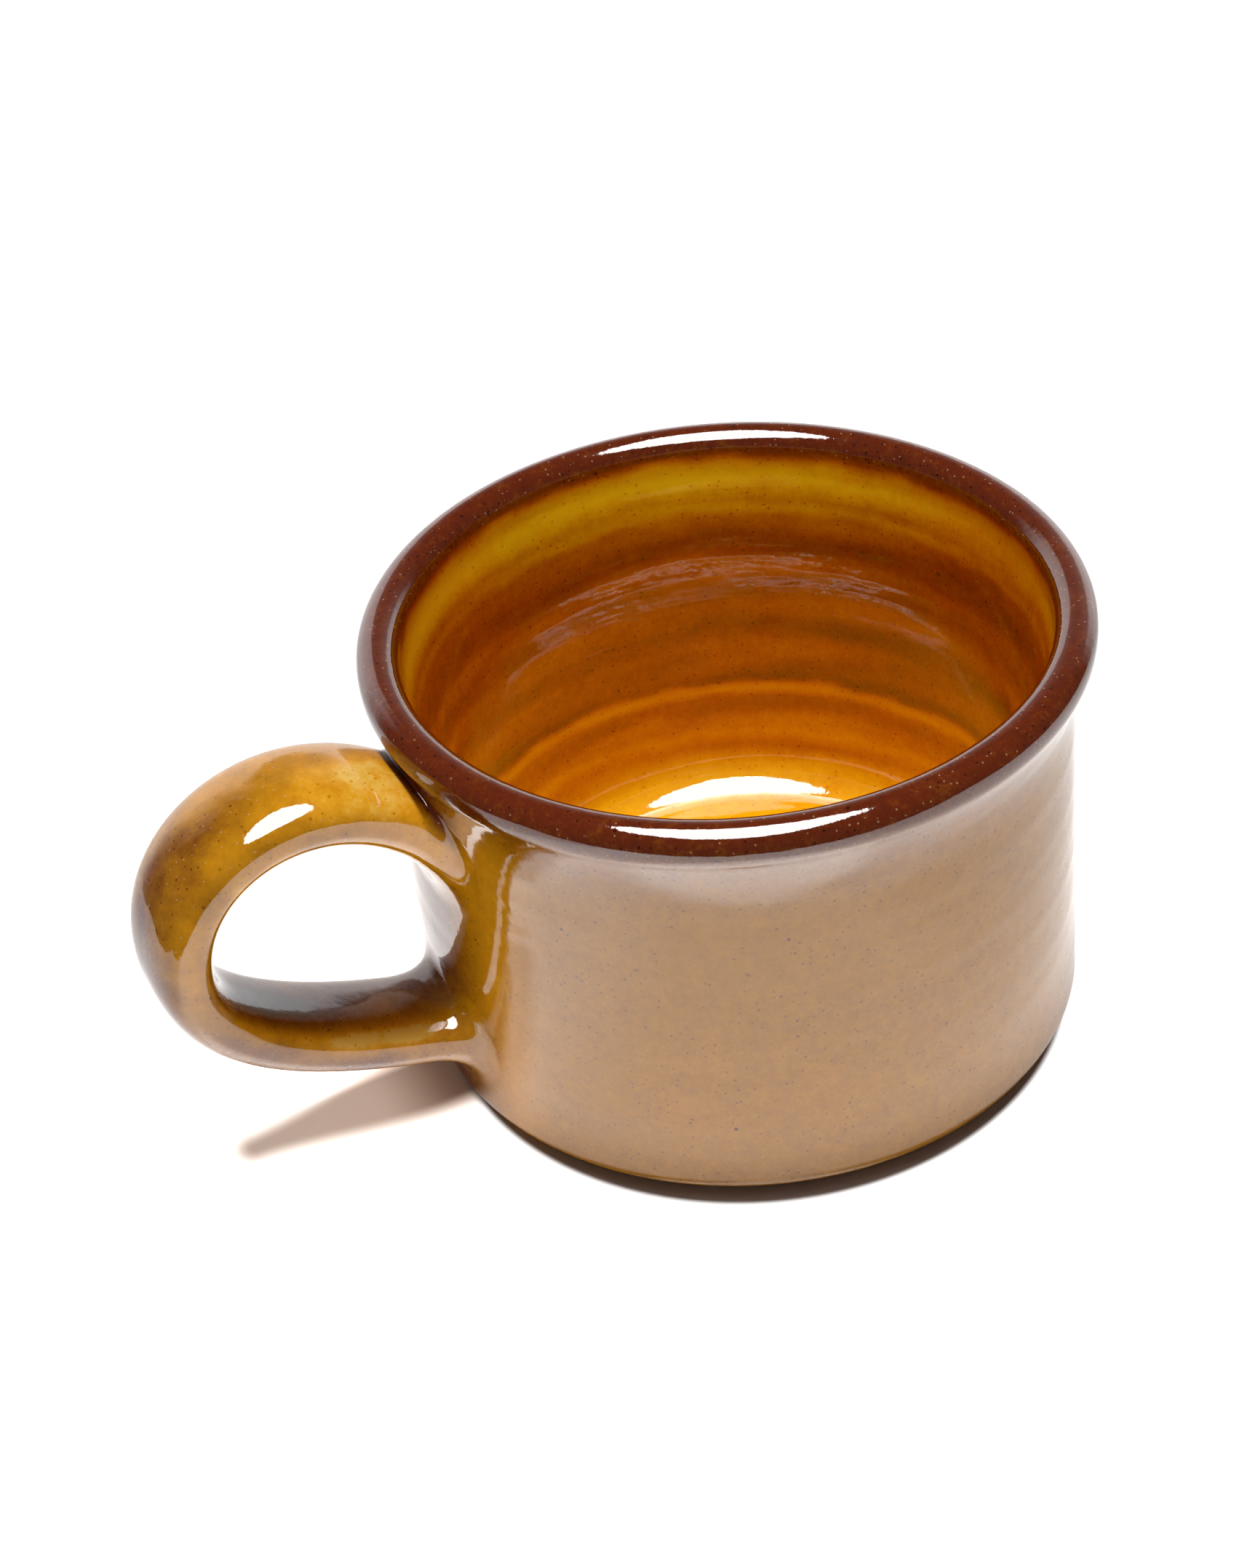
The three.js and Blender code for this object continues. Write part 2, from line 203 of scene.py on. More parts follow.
# Patches of thicker or thinner glaze on the handle: place along it, angle round it in degrees with the
# outside at 90 and the side towards -Y at 180, length, spread in degrees, and change of depth.
HANDLE_DEPTH = 0.76
HANDLE_PATCHES = (
    (0.10, 120, 0.10, 38, 0.18),
    (0.10, 75, 0.12, 13, -0.10),
    (0.33, 100, 0.11, 42, -0.40),
    (0.45, 80, 0.09, 34, -0.20),
    (0.58, 95, 0.14, 65, -0.36),
    (0.80, 165, 0.20, 38, -0.42),
    (0.70, 262, 0.18, 42, -0.90),
    (0.52, 270, 0.10, 45, -0.45),
    (0.80, 218, 0.18, 18, 0.50),
    (0.08, 270, 0.16, 60, -0.20),
    (0.02, 180, 0.08, 50, 0.04),
    (0.98, 180, 0.08, 50, 0.08),
)
HANDLE_STREAKS = 0.07
FILLET_BLEND = 1.5
# The top of the upper root is darker along its crease, under the rim.
CREASE_DEPTH = 0.12
CREASE_SPREAD = 1.6

# Colours: plain white, and the glazes from thin to thick.
WHITE = (1, 1, 1, 1)
HONEY = (
    (0.00, (0.045, 0.006, 0.002)),
    (0.20, (0.140, 0.019, 0.002)),
    (0.40, (0.300, 0.104, 0.003)),
    (0.60, (0.480, 0.196, 0.003)),
    (0.80, (0.690, 0.285, 0.006)),
    (0.90, (0.800, 0.360, 0.014)),
    (1.00, (0.880, 0.520, 0.090)),
)
AMBER = (
    (0.00, (0.045, 0.006, 0.002)),
    (0.20, (0.150, 0.024, 0.002)),
    (0.40, (0.340, 0.066, 0.001)),
    (0.60, (0.560, 0.145, 0.001)),
    (0.80, (0.760, 0.285, 0.001)),
    (1.00, (0.880, 0.440, 0.004)),
)

# In the glaze: clouds as size, detail, warp and weight, where each glaze weighs the broad ones itself;
# dark specks as spacing, size, share of the places and change of depth; and pale bubbles, whose cream dots
# are partly painted glints of light on them.
NOISE_MIDDLE = 0.5
BROAD_CLOUDS = ((0.012, 3.0, 0.6), (0.0045, 3.0, 0.4))
FINE_CLOUDS = ((0.0015, 4.0, 0.0, 0.18), (0.0005, 2.0, 0.0, 0.16))
DARK_SPECKS = (
    (0.0011, 0.00022, 0.60, -0.24),
    (0.0019, 0.00029, 0.35, -0.24),
    (0.0080, 0.00040, 0.25, -0.42),
)
BUBBLES = (0.0009, 0.00018, 0.45)
BUBBLE_CREAM = (0.62, 0.42, 0.24, 1)

# The liner's olive tint lies high up on one side.
OLIVE_AZIMUTH = math.radians(67.5)
OLIVE_ASIDE = (0.0226, 0.0377)
OLIVE_START = (0.0465, 0.0490)
OLIVE_END = (0.0560, 0.0600)
OLIVE_END_SHARE = 0.5

# Surface of the glaze: dimples as size and detail, fine rings, and the gloss with its clouds.
DIMPLES = (0.004, 1.0)
FINE_DIMPLES = (0.0011, 2.0)
FINE_DIMPLE_WEIGHT = 0.35
FINE_RING_PITCHES = (0.02, 0.02, 0.0016)
FINE_RINGS = (1.0, 1.0)
RELIEF_STRENGTH = 0.15
RELIEF_DEPTH = 0.0003
GLOSS_CLOUDS = (0.003, 3.0)
GLOSS_CLOUD_RANGE = (0.3, 0.8)
GLAZE_ROUGHNESS = (0.03, 0.08)
GLAZE_IOR = 1.75

# Bare clay and slip: clouds between a dark and a pale colour, grit, and iron specks.
CLAY_PALE = (0.40, 0.22, 0.12, 1)
CLAY_DARK = (0.25, 0.12, 0.06, 1)
SLIP_PALE = (0.30, 0.15, 0.08, 1)
SLIP_DARK = (0.2, 0.09, 0.045, 1)
CLAY_CLOUDS = (0.015, 4.0)
CLAY_CLOUD_RANGE = (0.3, 0.7)
IRON_SPECKS = (0.002, 0.0004, 0.35)
IRON_SHARE = 0.7
IRON_BROWN = (0.03, 0.015, 0.01, 1)
GRIT = (0.0006, 3.0)
GRIT_RANGE = (0.2, 0.8)
GRIT_STRENGTH = 0.5
GRIT_DEPTH = 0.0003
CLAY_ROUGHNESS = (0.75, 0.95)

CAMERA_AZIMUTH = math.radians(-22.5)
CAMERA_ELEVATION = math.radians(37.25)
CAMERA_ROLL = math.radians(6.15)
CAMERA_DISTANCE = 0.45
CAMERA_TARGET = (-0.01535, 0.00475, 0.030)
CAMERA_LENS = 73.23
CAMERA_SENSOR = 36
CAMERA_NEAR = 0.01

# Lamps, which lean from the zenith towards the front.
LAMP_DISTANCE = 1.0
KEY_STRENGTH = 3.1
KEY_ANGLE = math.radians(8)
KEY_TILT = math.radians(-2)
FILL_STRENGTH = 1.0
FILL_ANGLE = math.radians(26)
FILL_TILT = math.radians(87)
SOFTBOX_TILT = math.radians(13)
SOFTBOX_SIZE = (0.71, 0.98)
SOFTBOX_RADIANCE = 13.0

# Studio round the mug, as parts of a unit direction: a pale wall behind, higher on the left and at a bump.
STUDIO_WALL_TOP = 0.28
STUDIO_WALL_BLUR = 0.07
STUDIO_WALL_BRIGHTNESS = 1.0
STUDIO_WALL_BACK = (0.45, 0.75)
STUDIO_WALL_LEFT_RISE = 0.26
STUDIO_WALL_LEFT_END = 0.45
STUDIO_BUMP_LEFT = 0.27
STUDIO_BUMP_WIDTH = 0.25
STUDIO_BUMP_RISE = 0.12
STUDIO_HAZE = 0.35
STUDIO_HAZE_HEIGHTS = (0.3, 0.75)
STUDIO_DIM = 0.06
STUDIO_FILL = 0.4

# Table top.
TABLE_SIDE = 0.24
TABLE_FRONT = 0.14
TABLE_BACK = 3.0
TABLE_WHITE = (0.9, 0.9, 0.9, 1)
TABLE_ROUGHNESS = 0.17

# Painted shadow of the foot on the table: a darker disc, a little in front of the foot.
FOOT_SHADOW_SHIFT = 0.004
FOOT_SHADOW_RADIUS = 0.0449
FOOT_SHADOW_EDGE = 0.0008
FOOT_SHADE = (0.45, 0.40, 0.39, 1)

# Painted shadow of the handle on the table: a darker, warmer strip along -X that tapers and grows paler over
# its span.
HANDLE_SHADOW_END = 0.0775
HANDLE_SHADOW_SHIFT = 0.0027
HANDLE_SHADOW_SPAN = (0.050, 0.080)
HANDLE_SHADOW_WIDTHS = (0.0074, 0.0030)
HANDLE_SHADOW_EDGE = 0.0028
HANDLE_SHADOW_PALING = (0.047, 0.060)
HANDLE_SHADOW_LIGHT = (0.02, 0.19)
HANDLE_SHADOW_GLOW = (1.0, 0.78, 0.63, 1)
HANDLE_SHADE = (0.50, 0.36, 0.28, 1)

# Painted glow of the table by the distance ahead of the mug and to its left, and beside the two shadows.
GLOW_AHEAD = (-0.10, 0.06)
GLOW_LIGHT = (0.2, 0.9)
CORNER_LEFT = (0.03, 0.07)
CORNER_AHEAD = (-0.04, 0.03)
CORNER_LIGHT = 0.4
FAR_LEFT = (0.085, 0.115)
FAR_LEFT_SHARE = 0.4
FAR_RIGHT = (-0.08, -0.04)
FAR_RIGHT_SHARE = 0.6
BESIDE_FOOT = (0.052, 0.058)
BESIDE_STRIP = (0.013, 0.017)
BESIDE_LIGHT = 0.8


# Camera

def view_axes():
    """The directions to the right, up and away as the camera sees the mug, before its roll."""
    turn = Matrix.Rotation(CAMERA_AZIMUTH, 3, "Z")
    c, s = math.cos(CAMERA_ELEVATION), math.sin(CAMERA_ELEVATION)
    return turn @ Vector((1, 0, 0)), turn @ Vector((0, s, c)), turn @ Vector((0, c, -s))


def level_axes():
    """The level directions to the right and to the back, as the camera sees the mug."""
    right, _, away = view_axes()
    return right, Vector((away.x, away.y, 0)).normalized()


def make_camera():
    """The camera, rolled about its line of sight."""
    right, up, away = view_axes()
    aside, raised, height = CAMERA_TARGET
    target = Vector((0, 0, height)) + right * aside + up * raised
    c, s = math.cos(CAMERA_ROLL), math.sin(CAMERA_ROLL)
    rows = Matrix((right * c - up * s, right * s + up * c, -away))
    data = bpy.data.cameras.new("camera")
    data.lens = CAMERA_LENS
    data.sensor_width = CAMERA_SENSOR
    data.clip_start = CAMERA_NEAR
    camera = bpy.data.objects.new("camera", data)
    camera.matrix_world = Matrix.Translation(target - away * CAMERA_DISTANCE) @ rows.transposed().to_4x4()
    bpy.context.scene.collection.objects.link(camera)
    bpy.context.scene.camera = camera


# Node trees

# The numbers of a colour mix's inputs: its share and its two colours.
MIX_INPUTS = (0, 6, 7)


class Nodes:
    """One node tree. An input takes a number, a colour or another node's output."""

    def __init__(self, tree):
        self.tree = tree
        tree.nodes.clear()

    def give(self, socket, value):
        """Sets a socket, or links another socket to it."""
        if isinstance(value, bpy.types.NodeSocket):
            self.tree.links.new(value, socket)
        else:
            socket.default_value = value

    def add(self, kind, inputs=None, **settings):
        """A new node with its settings and inputs."""
        node = self.tree.nodes.new("ShaderNode" + kind)
        for name, value in settings.items():
            setattr(node, name, value)
        for name, value in (inputs or {}).items():
            self.give(node.inputs[name], value)
        return node

    def math(self, operation, a, b=0.0, clamp=False):
        """The result of an operation on one or two numbers."""
        node = self.add("Math", {0: a, 1: b}, operation=operation, use_clamp=clamp)
        return node.outputs[0]

    def plus(self, total, layer, weight):
        """The total with a weighted layer added."""
        return self.math("ADD", total, self.math("MULTIPLY", layer, weight))

    def vector(self, operation, a, b):
        """The outputs, Vector and Value, of an operation on two vectors."""
        return self.add("VectorMath", {0: a, 1: b}, operation=operation).outputs

    def along(self, coords, direction):
        """How far coordinates lie along a direction."""
        return self.vector("DOT_PRODUCT", coords, direction)["Value"]

    def spread(self, value, low, high, to_low=0.0, to_high=1.0):
        """A smooth step of a value from one range to another."""
        ranges = {"Value": value, "From Min": low, "From Max": high, "To Min": to_low, "To Max": to_high}
        return self.add("MapRange", ranges, interpolation_type="SMOOTHSTEP").outputs[0]

    def noise(self, coords, size, detail, warp=0.0):
        """Cloudy noise round its middle, whose features are about that size in metres."""
        inputs = {"Vector": coords, "Scale": 1 / size, "Detail": detail, "Distortion": warp}
        return self.add("TexNoise", inputs).outputs["Fac"]

    def specks(self, coords, spacing, size, share):
        """1 in scattered dots and 0 between them; share is the part of the cells that hold one."""
        cells = self.add("TexVoronoi", {"Vector": coords, "Scale": 1 / spacing})
        dot = self.spread(cells.outputs["Distance"], size / spacing, size / spacing / 2)
        picked = self.add("SeparateColor", {0: cells.outputs["Color"]}).outputs[0]
        return self.math("MULTIPLY", dot, self.math("LESS_THAN", picked, share))

    def ramp(self, value, stops):
        """The colour at a value between stops, which run from 0 to 1."""
        node = self.add("ValToRGB", {0: value})
        elements = node.color_ramp.elements
        for place, _ in stops[1:-1]:
            elements.new(place)
        for element, (_, colour) in zip(elements, stops):
            element.color = (*colour, 1)
        return node.outputs[0]

    def mix(self, share, a, b):
        """A colour between two colours."""
        return self.add("Mix", dict(zip(MIX_INPUTS, (share, a, b))), data_type="RGBA").outputs[2]

    def surface(self, inputs):
        """Ends a material's tree with a principled shader."""
        shader = self.add("BsdfPrincipled", inputs)
        self.add("OutputMaterial", {"Surface": shader.outputs[0]})


def new_material(name):
    """A material and its node tree, still empty."""
    material = bpy.data.materials.new(name)
    material.use_nodes = True
    return material, Nodes(material.node_tree)


# Light

def place_lamp(data, tilt):
    """Hangs a lamp over the mug, leaning from the zenith towards the front."""
    front = -level_axes()[1]
    towards = Vector((0, 0, 1)) * math.cos(tilt) + front * math.sin(tilt)
    depth = (front - towards * front.dot(towards)).normalized()
    across = depth.cross(towards).normalized()
    turned = Matrix((across, -depth, towards)).transposed().to_4x4()
    lamp = bpy.data.objects.new(data.name, data)
    lamp.matrix_world = Matrix.Translation(towards * LAMP_DISTANCE) @ turned
    bpy.context.scene.collection.objects.link(lamp)
    return lamp


def make_sun(name, strength, angle, tilt):
    """A broad sun that the glaze doesn't mirror."""
    sun = bpy.data.lights.new(name, "SUN")
    sun.energy = strength
    sun.angle = angle
    place_lamp(sun, tilt).visible_glossy = False


def make_softbox():
    """An elliptic softbox that is seen in reflections alone."""
    soft = bpy.data.lights.new("softbox", "AREA")
    soft.shape = "ELLIPSE"
    soft.size, soft.size_y = SOFTBOX_SIZE
    area = math.pi / 4 * soft.size * soft.size_y
    soft.energy = SOFTBOX_RADIANCE * math.pi * area
    lamp = place_lamp(soft, SOFTBOX_TILT)
    lamp.visible_diffuse = False
    lamp.visible_camera = False


def make_world():
    """A dim studio with a low pale wall behind the mug, and a white backdrop for the camera."""
    world = bpy.data.worlds.new("studio")
    world.use_nodes = True
    bpy.context.scene.world = world
    n = Nodes(world.node_tree)
    right, back = level_axes()
    direction = n.add("TexCoord").outputs["Generated"]
    leftward = n.along(direction, -right)
    backward = n.along(direction, back)
    height = n.add("SeparateXYZ", {0: direction}).outputs[2]
    off_bump = n.math("ABSOLUTE", n.math("SUBTRACT", leftward, STUDIO_BUMP_LEFT))
    bump = n.spread(off_bump, STUDIO_BUMP_WIDTH, 0.0, 0.0, STUDIO_BUMP_RISE)
    rise = n.spread(leftward, 0.0, STUDIO_WALL_LEFT_END, 0.0, STUDIO_WALL_LEFT_RISE)
    top = n.math("ADD", n.math("ADD", bump, STUDIO_WALL_TOP), rise)
    below_top = n.math("SUBTRACT", top, height)
    pale = n.spread(below_top, -STUDIO_WALL_BLUR, STUDIO_WALL_BLUR, 0.0, STUDIO_WALL_BRIGHTNESS)
    pale = n.math("ADD", pale, n.spread(height, *STUDIO_HAZE_HEIGHTS, STUDIO_HAZE, 0.0))
    pale = n.math("MULTIPLY", pale, n.spread(backward, *STUDIO_WALL_BACK))
    path = n.add("LightPath").outputs
    fill = n.spread(path["Is Diffuse Ray"], 0.0, 1.0, 1.0, STUDIO_FILL)
    light = n.math("MULTIPLY", n.math("ADD", pale, STUDIO_DIM), fill)
    studio = n.add("Background", {"Color": WHITE, "Strength": light})
    backdrop = n.add("Background", {"Color": WHITE, "Strength": 1.0})
    mixed = n.add("MixShader", {0: path["Is Camera Ray"], 1: studio.outputs[0], 2: backdrop.outputs[0]})
    n.add("OutputWorld", {"Surface": mixed.outputs[0]})


# Table

def handle_shadow(n, place):
    """Distance from the middle of the handle's painted shadow, and the share of light that it leaves there.
    """
    axes = n.add("SeparateXYZ", {0: place}).outputs
    outward = n.math("MULTIPLY", axes[0], -1.0)
    past_end = n.math("MAXIMUM", n.math("SUBTRACT", outward, HANDLE_SHADOW_END), 0.0)
    past_end = n.math("MAXIMUM", past_end, axes[0])
    aside = n.math("SUBTRACT", axes[1], HANDLE_SHADOW_SHIFT)
    squares = n.math("ADD", n.math("MULTIPLY", past_end, past_end), n.math("MULTIPLY", aside, aside))
    distance = n.math("SQRT", squares)
    off_strip = n.math("SUBTRACT", distance, n.spread(outward, *HANDLE_SHADOW_SPAN, *HANDLE_SHADOW_WIDTHS))
    dimmed = n.spread(outward, *HANDLE_SHADOW_PALING, *HANDLE_SHADOW_LIGHT)
    return distance, n.spread(off_strip, -HANDLE_SHADOW_EDGE, HANDLE_SHADOW_EDGE, dimmed, 1.0)


def table_glow(n, place):
    """The table's painted glow by place: strongest ahead of the mug, and weaker far to its left and right.
    """
    right, back = level_axes()
    ahead = n.along(place, -back)
    leftward = n.along(place, -right)
    corner = n.spread(ahead, *CORNER_AHEAD, 0.0, CORNER_LIGHT)
    corner = n.math("MULTIPLY", n.spread(leftward, *CORNER_LEFT), corner)
    glow = n.math("ADD", n.spread(ahead, *GLOW_AHEAD, *GLOW_LIGHT), corner)
    glow = n.math("MULTIPLY", glow, n.spread(leftward, *FAR_LEFT, 1.0, FAR_LEFT_SHARE))
    return n.math("MULTIPLY", glow, n.spread(leftward, *FAR_RIGHT, FAR_RIGHT_SHARE, 1.0))


def table_material():
    """White that glows for the camera and in reflections, with painted shadows of the foot and the handle in
    its colour and glow.
    """
    material, n = new_material("white table")
    place = n.add("TexCoord").outputs["Object"]
    foot_middle = level_axes()[1] * -FOOT_SHADOW_SHIFT
    foot = n.vector("DISTANCE", place, foot_middle)["Value"]
    foot_lit = n.spread(foot, FOOT_SHADOW_RADIUS - FOOT_SHADOW_EDGE, FOOT_SHADOW_RADIUS + FOOT_SHADOW_EDGE)
    strip, strip_lit = handle_shadow(n, place)
    lit = n.math("MULTIPLY", foot_lit, strip_lit)
    path = n.add("LightPath").outputs
    seen = n.math("ADD", path["Is Camera Ray"], path["Is Glossy Ray"])
    seen = n.math("ADD", seen, path["Is Transmission Ray"], clamp=True)
    glow = n.math("MULTIPLY", n.math("MULTIPLY", seen, table_glow(n, place)), lit)
    near_foot = n.spread(foot, *BESIDE_FOOT, BESIDE_LIGHT, 0.0)
    near_strip = n.spread(strip, *BESIDE_STRIP, BESIDE_LIGHT, 0.0)
    beside = n.math("MULTIPLY", lit, n.math("MAXIMUM", near_foot, near_strip))
    beside = n.math("MULTIPLY", path["Is Camera Ray"], beside)
    n.surface({
        "Base Color": n.mix(foot_lit, FOOT_SHADE, n.mix(strip_lit, HANDLE_SHADE, TABLE_WHITE)),
        "Roughness": TABLE_ROUGHNESS,
        "Specular IOR Level": path["Is Glossy Ray"],
        "Emission Color": n.mix(strip_lit, HANDLE_SHADOW_GLOW, WHITE),
        "Emission Strength": n.math("ADD", glow, beside),
    })
    return material


def make_floor():
    """A white table top that ends a little in front of the mug."""
    right, back = level_axes()
    left_edge, right_edge = right * -TABLE_SIDE, right * TABLE_SIDE
    front_edge, back_edge = back * -TABLE_FRONT, back * TABLE_BACK
    corners = [
        left_edge + front_edge,
        right_edge + front_edge,
        right_edge + back_edge,
        left_edge + back_edge,
    ]
    mesh = bpy.data.meshes.new("floor")
    mesh.from_pydata(corners, [], [(0, 1, 2, 3)])
    mesh.materials.append(table_material())
    floor = bpy.data.objects.new("floor", mesh)
    bpy.context.scene.collection.objects.link(floor)


# Materials

def glaze_depth(n, coords, blotch):
    """The coat's own depth of glaze, with clouds and dark specks in it."""
    depth = n.add("Attribute", attribute_name="glaze").outputs["Fac"]
    clouds = tuple((*cloud, blotch) for cloud in BROAD_CLOUDS) + FINE_CLOUDS
    for size, detail, warp, weight in clouds:
        cloud = n.math("SUBTRACT", n.noise(coords, size, detail, warp), NOISE_MIDDLE)
        depth = n.plus(depth, cloud, weight)
    for spacing, size, share, weight in DARK_SPECKS:
        depth = n.plus(depth, n.specks(coords, spacing, size, share), weight)
    return depth


def olive_tinted(n, coords, colour, strength):
    """A colour with more green and blue high up on one side of the cup."""
    aside = n.along(coords, (math.cos(OLIVE_AZIMUTH), math.sin(OLIVE_AZIMUTH), 0))
    height = n.add("SeparateXYZ", {0: coords}).outputs[2]
    band = n.spread(height, *OLIVE_END, 1.0, OLIVE_END_SHARE)
    band = n.math("MULTIPLY", n.spread(height, *OLIVE_START), band)
    share = n.math("MULTIPLY", band, n.spread(aside, *OLIVE_ASIDE))
    tint = n.mix(share, WHITE, (1, 1 + strength, 1 + strength, 1))
    return n.vector("MULTIPLY", colour, tint)["Vector"]


def glaze_normals(n, coords, lines):
    """Normals of the glaze, which has soft dimples, finer ones among them, and fine rings."""
    relief = n.plus(n.noise(coords, *DIMPLES), n.noise(coords, *FINE_DIMPLES), FINE_DIMPLE_WEIGHT)
    ring_coords = n.vector("DIVIDE", coords, FINE_RING_PITCHES)["Vector"]
    relief = n.plus(relief, n.noise(ring_coords, *FINE_RINGS), lines)
    bump = n.add("Bump", {"Height": relief, "Strength": RELIEF_STRENGTH, "Distance": RELIEF_DEPTH})
    return bump.outputs[0]


def glaze_material(name, stops, blotch, bubbles, lines, olive=0.0):
    """Glossy glaze: dark where it lies thin over the clay and golden where it lies thick.

    blotch weighs its broad clouds, bubbles its pale dots, lines its fine rings, and olive its green tint.
    """
    material, n = new_material(name)
    coords = n.add("TexCoord").outputs["Object"]
    colour = n.ramp(glaze_depth(n, coords, blotch), stops)
    # Pale bubbles: cream dots painted into the colour, partly as the bubbles and partly as glints of light
    # on them.
    dots = n.math("MULTIPLY", n.specks(coords, *BUBBLES), bubbles)
    colour = n.mix(dots, colour, BUBBLE_CREAM)
    if olive:
        colour = olive_tinted(n, coords, colour, olive)
    n.surface({
        "Base Color": colour,
        "Roughness": n.spread(n.noise(coords, *GLOSS_CLOUDS), *GLOSS_CLOUD_RANGE, *GLAZE_ROUGHNESS),
        "IOR": GLAZE_IOR,
        "Normal": glaze_normals(n, coords, lines),
    })
    return material


def clay_material(name, pale, dark):
    """Bare fired stoneware: matte, gritty, with iron specks."""
    material, n = new_material(name)
    coords = n.add("TexCoord").outputs["Object"]
    cloudy = n.mix(n.spread(n.noise(coords, *CLAY_CLOUDS), *CLAY_CLOUD_RANGE), dark, pale)
    iron = n.math("MULTIPLY", n.specks(coords, *IRON_SPECKS), IRON_SHARE)
    grit = n.noise(coords, *GRIT)
    bump = n.add("Bump", {"Height": grit, "Strength": GRIT_STRENGTH, "Distance": GRIT_DEPTH})
    n.surface({
        "Base Color": n.mix(iron, cloudy, IRON_BROWN),
        "Roughness": n.spread(grit, *GRIT_RANGE, *CLAY_ROUGHNESS),
        "Normal": bump.outputs[0],
    })
    return material


# Outline of the cup

CROWN_CENTRE = np.array((RIM_RADIUS - RIM_ROLL_RADIUS, HEIGHT - RIM_ROLL_RADIUS))
UNDERSIDE_CENTRE = CROWN_CENTRE - (0, RIM_FACE_HEIGHT)
FLARE_ACROSS = WALL_RADIUS + FLARE_RADIUS - CROWN_CENTRE[0]
FLARE_RISE = math.sqrt((FLARE_RADIUS + RIM_ROLL_RADIUS) ** 2 - FLARE_ACROSS ** 2)
FLARE_CENTRE = np.array((WALL_RADIUS + FLARE_RADIUS, UNDERSIDE_CENTRE[1] - FLARE_RISE))
FLARE_END = math.atan2(FLARE_RISE, -FLARE_ACROSS)
ROLL_START_HEIGHT = FLARE_CENTRE[1] + FLARE_RADIUS * math.sin(FLARE_END)


def arc(centre, radius, start, end, count=ARC_POINTS):
    """Points of an arc from one angle to another."""
    angle = np.linspace(start, end, count)[:, None]
    return centre + radius * np.hstack((np.cos(angle), np.sin(angle)))


def bezier(points, count=ARC_POINTS):
    """Points of the cubic curve with these four control points."""
    t = np.linspace(0, 1, count)[:, None]
    a, b, c, d = (np.array(p, float) for p in points)
    return (1 - t) ** 3 * a + 3 * t * (1 - t) ** 2 * b + 3 * t ** 2 * (1 - t) * c + t ** 3 * d


def wall_radius(z):
    """Radius of the outer wall, flare and underside of the roll at a height."""
    rise = np.clip(z - FLARE_CENTRE[1], 0, FLARE_RADIUS * math.sin(FLARE_END))
    flare = FLARE_CENTRE[0] - np.sqrt(FLARE_RADIUS ** 2 - rise ** 2)
    drop = np.clip(z - UNDERSIDE_CENTRE[1], -RIM_ROLL_RADIUS, 0)
    roll = UNDERSIDE_CENTRE[0] + np.sqrt(RIM_ROLL_RADIUS ** 2 - drop ** 2)
    return np.where(z < ROLL_START_HEIGHT, flare, roll)


def cup_outline():
    """Stretches of the finished outline: the wall with its foot and flare, the roll, and the inside."""
    foot = np.array((WALL_RADIUS - FOOT_ROUND, FOOT_ROUND + FOOT_LIFT))
    wall = np.vstack((
        arc(foot, FOOT_ROUND, FOOT_ROUND_START, 0),
        arc(FLARE_CENTRE, FLARE_RADIUS, math.pi, FLARE_END),
    ))
    roll = np.vstack((
        arc(UNDERSIDE_CENTRE, RIM_ROLL_RADIUS, FLARE_END - math.pi, 0),
        arc(CROWN_CENTRE, RIM_ROLL_RADIUS, 0, math.pi),
    ))
    wall_top = np.array((WALL_RADIUS - WALL_THICKNESS_MOUTH, CROWN_CENTRE[1] - MOUTH_DEPTH))
    cove_place = WALL_RADIUS - WALL_THICKNESS_FOOT - FLOOR_COVE_RADIUS
    cove = np.array((cove_place, FLOOR_THICKNESS + FLOOR_COVE_RADIUS))
    from_cove = wall_top - cove
    lean = math.atan2(from_cove[1], from_cove[0]) - math.acos(FLOOR_COVE_RADIUS / np.hypot(*from_cove))
    lip = roll[-1]
    half = (lip[1] + wall_top[1]) / 2
    above = (wall_top[0] - (half - wall_top[1]) * math.tan(lean), half)
    inside = np.vstack((
        bezier((lip, (lip[0], half), above, wall_top)),
        arc(cove, FLOOR_COVE_RADIUS, lean, -math.pi / 2),
        ((0, FLOOR_THICKNESS),),
    ))
    return wall, roll, inside


def running_length(line):
    """Distance along a line at each of its points."""
    return np.concatenate(([0], np.cumsum(np.hypot(*np.diff(line, axis=0).T))))


def even_rows(line, step):
    """The line sampled again at even steps of about that length."""
    length = running_length(line)
    count = int(round(length[-1] / step)) + 1
    places = np.linspace(0, length[-1], count)
    return np.column_stack([np.interp(places, length, line[:, k]) for k in (0, 1)])


def outline_normals(rows):
    """Unit normals of an outline, on the side that faces out of the clay."""
    along = np.gradient(rows, axis=0)
    facing = np.column_stack((along[:, 1], -along[:, 0]))
    return facing / np.hypot(*facing.T)[:, None]


# Unevenness of the cup and of its glaze

def rising(value, length):
    """0 up to a value of 0, 1 from that length on, and even between them."""
    return np.clip(value / length, 0, 1)


def ripple(angle, run, seed, turns, pitch):
    """A smooth uneven field between about -1 and 1: waves that close on themselves round the angle."""
    rng = np.random.default_rng(seed)
    total = 0
    for _ in range(RIPPLE_WAVES):
        around = rng.integers(-turns, turns + 1)
        along = rng.uniform(*RIPPLE_SPREAD) / pitch
        phase = rng.uniform(0, 2 * math.pi)
        total = total + np.sin(around * angle + 2 * math.pi * along * run + phase)
    return total / math.sqrt(RIPPLE_WAVES)


